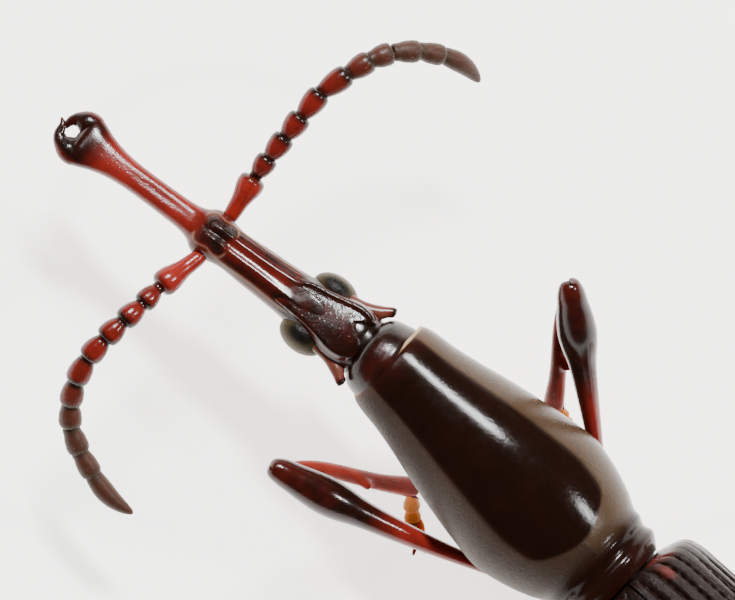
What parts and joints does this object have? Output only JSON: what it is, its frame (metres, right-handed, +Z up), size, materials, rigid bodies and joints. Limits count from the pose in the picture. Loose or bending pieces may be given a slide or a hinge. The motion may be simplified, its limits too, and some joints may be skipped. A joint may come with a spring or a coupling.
{
  "type": "straight snouted weevil, heterobrenthus",
  "caption": "Slender male weevil with a straight snout, bead like antennae, a bare barrel shaped pronotum and long ribbed wing cases, standing on its feet.",
  "frame": {"origin": "middle of the model's box, on the floor under the soles", "axes": "the snout points along -Y, the animal's left is +X, +Z is up"},
  "size_m": [0.0076, 0.016, 0.0034],
  "materials": {
    "shell": "gloss, near black mahogany",
    "red": "gloss, deep translucent red",
    "bead": "gloss, red with dark ends",
    "eye": "satin, olive grey with fine facets",
    "amber": "satin, amber"
  },
  "bodies": {
    "root": {"prothorax": "shell", "thorax": "shell", "abdomen": "shell", "elytron_left": "shell", "elytron_right": "shell", "head": "shell", "eye_left": "eye", "eye_right": "eye", "rostrum_base": "red", "rostrum_tip": "red", "mandible_left": "shell", "mandible_right": "shell", "antenna_left_scape": "red", "antenna_left_funicle": "bead", "antenna_left_club": "bead", "antenna_right_scape": "red", "antenna_right_funicle": "bead", "antenna_right_club": "bead", "leg_fore_left_coxa": "red", "leg_fore_left_femur": "shell", "leg_fore_left_tibia": "red", "leg_fore_left_tarsus": "amber", "leg_fore_right_coxa": "red", "leg_fore_right_femur": "shell", "leg_fore_right_tibia": "red", "leg_fore_right_tarsus": "amber", "leg_mid_left_coxa": "red", "leg_mid_left_femur": "shell", "leg_mid_left_tibia": "red", "leg_mid_left_tarsus": "amber", "leg_mid_right_coxa": "red", "leg_mid_right_femur": "shell", "leg_mid_right_tibia": "red", "leg_mid_right_tarsus": "amber", "leg_hind_left_coxa": "red", "leg_hind_left_femur": "shell", "leg_hind_left_tibia": "red", "leg_hind_left_tarsus": "amber", "leg_hind_right_coxa": "red", "leg_hind_right_femur": "shell", "leg_hind_right_tibia": "red", "leg_hind_right_tarsus": "amber"}
  },
  "joints": []
}
